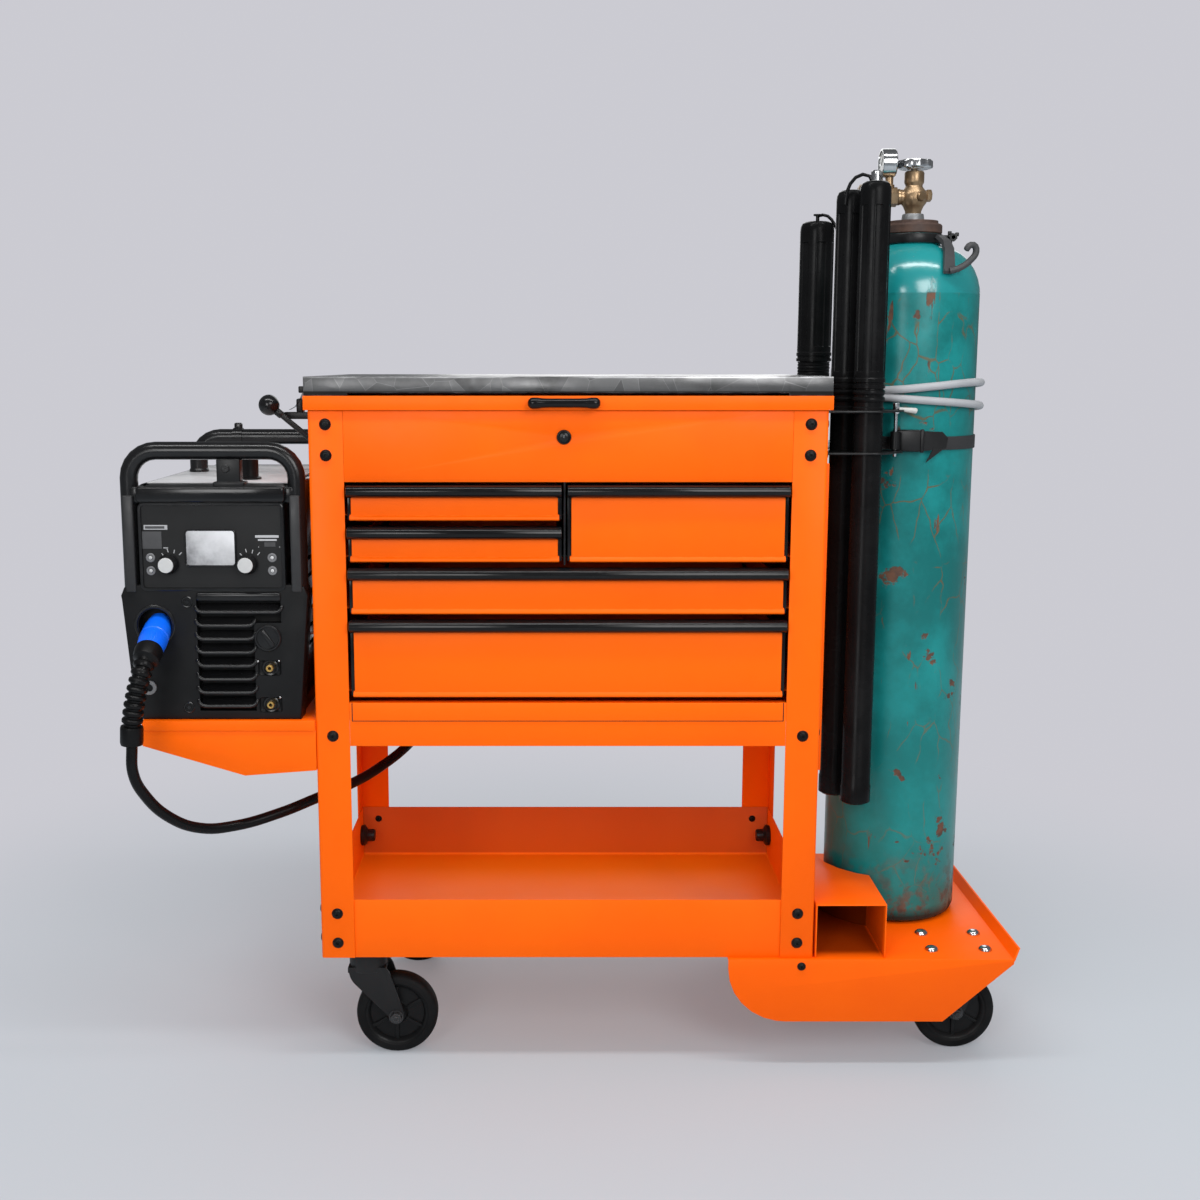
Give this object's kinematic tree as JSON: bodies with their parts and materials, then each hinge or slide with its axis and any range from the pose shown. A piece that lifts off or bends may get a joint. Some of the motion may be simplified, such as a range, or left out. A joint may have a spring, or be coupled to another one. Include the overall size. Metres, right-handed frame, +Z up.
{
  "type": "welding cart",
  "caption": "Drawer tool cart fitted out for welding: hinged lid with steel bench top, lower tray, machine shelf, bottle rack, rod tubes and casters.",
  "frame": {"origin": "on the floor under the middle of the cart's box, cords left out", "axes": "+X to the right seen from the drawers, +Y to the rear, +Z up"},
  "size_m": [1.3284, 0.6465, 1.3829],
  "materials": {
    "orange_paint": "powder-coated sheet, satin",
    "black_paint": "black paint, satin",
    "black_plastic": "moulded, fine texture",
    "panel_grey": "dark grey panel",
    "rubber": "matt black",
    "bench_steel": "brushed and scratched",
    "chrome": "plated",
    "brass": "dull brass",
    "teal_paint": "old paint with rust",
    "webbing": "woven webbing",
    "grey_hose": "light grey hose",
    "white_plastic": "white knob cap",
    "blue_plastic": "blue sleeve"
  },
  "bodies": {
    "cart": {"front_left_leg": "orange_paint", "front_right_leg": "orange_paint", "rear_left_leg": "orange_paint", "rear_right_leg": "orange_paint", "lower_tray": "orange_paint", "left_side_panel": "orange_paint", "right_side_panel": "orange_paint", "drawer_divider": "orange_paint", "cabinet_floor": "orange_paint", "compartment_floor": "orange_paint", "front_fascia": "orange_paint", "back_panel": "orange_paint", "rack_base": "orange_paint", "rack_box": "orange_paint", "welder_shelf": "orange_paint", "front_left_caster_plate": "black_paint", "rear_left_caster_plate": "black_paint", "front_right_fork": "black_paint", "rear_right_fork": "black_paint", "neck_clamp": "black_paint", "tube_bracket": "black_paint", "welder_case": "black_paint", "rod_tube_1": "black_plastic", "rod_tube_2": "black_plastic", "rod_tube_3": "black_plastic", "welder_front": "black_plastic", "welder_rear": "black_plastic", "tig_torch": "black_plastic", "control_panel": "panel_grey", "torch_cable": "rubber", "cable_coil": "rubber", "cylinder_valve": "brass", "regulator": "brass", "gas_bottle": "teal_paint", "bottle_strap": "webbing", "gas_hose": "grey_hose", "torch_plug": "blue_plastic"},
    "lid": {"lid": "orange_paint", "bench_top": "bench_steel", "lid_pull": "black_plastic"},
    "lock_plug": {"lock_plug": "chrome"},
    "top_left_drawer": {"top_left_drawer": "orange_paint"},
    "middle_left_drawer": {"middle_left_drawer": "orange_paint"},
    "right_drawer": {"right_drawer": "orange_paint"},
    "wide_drawer": {"wide_drawer": "orange_paint"},
    "deep_drawer": {"deep_drawer": "orange_paint"},
    "front_left_swivel": {"front_left_fork": "black_paint"},
    "rear_left_swivel": {"rear_left_fork": "black_paint"},
    "front_left_wheel": {"front_left_wheel": "rubber"},
    "rear_left_wheel": {"rear_left_wheel": "rubber"},
    "front_right_wheel": {"front_right_wheel": "rubber"},
    "rear_right_wheel": {"rear_right_wheel": "rubber"},
    "valve_handwheel": {"valve_handwheel": "chrome"},
    "left_knob": {"left_knob": "white_plastic"},
    "right_knob": {"right_knob": "white_plastic"},
    "tube_cap_1": {"tube_cap_1": "black_plastic"},
    "tube_cap_2": {"tube_cap_2": "black_plastic"},
    "tube_cap_3": {"tube_cap_3": "black_plastic"},
    "strap_pin": {"strap_pin": "chrome"},
    "ball_lever": {"ball_lever": "black_paint"}
  },
  "joints": [
    {"name": "lid_hinge", "type": "hinge", "parent": "cart", "child": "lid", "pos_m": [-0.01577, 0.2254, 0.99], "axis": [-1, 0, 0], "range_deg": [0, 80]},
    {"name": "top_left_drawer_slide", "type": "slide", "parent": "cart", "child": "top_left_drawer", "axis": [0, -1, 0], "range_m": [0, 0.36]},
    {"name": "middle_left_drawer_slide", "type": "slide", "parent": "cart", "child": "middle_left_drawer", "axis": [0, -1, 0], "range_m": [0, 0.36]},
    {"name": "right_drawer_slide", "type": "slide", "parent": "cart", "child": "right_drawer", "axis": [0, -1, 0], "range_m": [0, 0.36]},
    {"name": "wide_drawer_slide", "type": "slide", "parent": "cart", "child": "wide_drawer", "axis": [0, -1, 0], "range_m": [0, 0.36]},
    {"name": "deep_drawer_slide", "type": "slide", "parent": "cart", "child": "deep_drawer", "axis": [0, -1, 0], "range_m": [0, 0.36]},
    {"name": "lock_turn", "type": "hinge", "parent": "cart", "child": "lock_plug", "pos_m": [-0.02177, -0.2501, 0.955], "axis": [0, 1, 0], "range_deg": [0, 90]},
    {"name": "front_left_swivel_turn", "type": "hinge", "parent": "cart", "child": "front_left_swivel", "pos_m": [-0.32377, -0.1901, 0.1], "axis": [0, 0, 1], "continuous": true},
    {"name": "front_left_wheel_roll", "type": "hinge", "parent": "front_left_swivel", "child": "front_left_wheel", "pos_m": [-0.27977, -0.1901, 0.06253], "axis": [0, 1, 0], "continuous": true},
    {"name": "rear_left_swivel_turn", "type": "hinge", "parent": "cart", "child": "rear_left_swivel", "pos_m": [-0.32377, 0.1559, 0.1], "axis": [0, 0, 1], "continuous": true},
    {"name": "rear_left_wheel_roll", "type": "hinge", "parent": "rear_left_swivel", "child": "rear_left_wheel", "pos_m": [-0.27977, 0.1559, 0.06253], "axis": [0, 1, 0], "continuous": true},
    {"name": "front_right_wheel_roll", "type": "hinge", "parent": "cart", "child": "front_right_wheel", "pos_m": [0.58823, -0.1761, 0.06253], "axis": [0, 1, 0], "continuous": true},
    {"name": "rear_right_wheel_roll", "type": "hinge", "parent": "cart", "child": "rear_right_wheel", "pos_m": [0.58823, 0.1419, 0.06253], "axis": [0, 1, 0], "continuous": true},
    {"name": "valve_turn", "type": "hinge", "parent": "cart", "child": "valve_handwheel", "pos_m": [0.51823, -0.0141, 1.3513], "axis": [0, 0, 1], "range_deg": [0, 1080]},
    {"name": "left_knob_turn", "type": "hinge", "parent": "cart", "child": "left_knob", "pos_m": [-0.59277, -0.2501, 0.7723], "axis": [0, 1, 0], "range_deg": [-150, 150]},
    {"name": "right_knob_turn", "type": "hinge", "parent": "cart", "child": "right_knob", "pos_m": [-0.47877, -0.2501, 0.7723], "axis": [0, 1, 0], "range_deg": [-150, 150]},
    {"name": "tube_cap_1_lift", "type": "slide", "parent": "cart", "child": "tube_cap_1", "axis": [0, 0, 1], "range_m": [0, 0.1]},
    {"name": "tube_cap_2_lift", "type": "slide", "parent": "cart", "child": "tube_cap_2", "axis": [0, 0, 1], "range_m": [0, 0.1]},
    {"name": "tube_cap_3_lift", "type": "slide", "parent": "cart", "child": "tube_cap_3", "axis": [0, 0, 1], "range_m": [0, 0.1]},
    {"name": "strap_pin_turn", "type": "hinge", "parent": "cart", "child": "strap_pin", "pos_m": [0.47623, -0.1321, 0.95], "axis": [0, 0, 1], "range_deg": [-110, 0]},
    {"name": "lever_swing", "type": "hinge", "parent": "cart", "child": "ball_lever", "pos_m": [-0.40377, -0.0101, 0.925], "axis": [0, 1, 0], "range_deg": [-30, 40]}
  ]
}
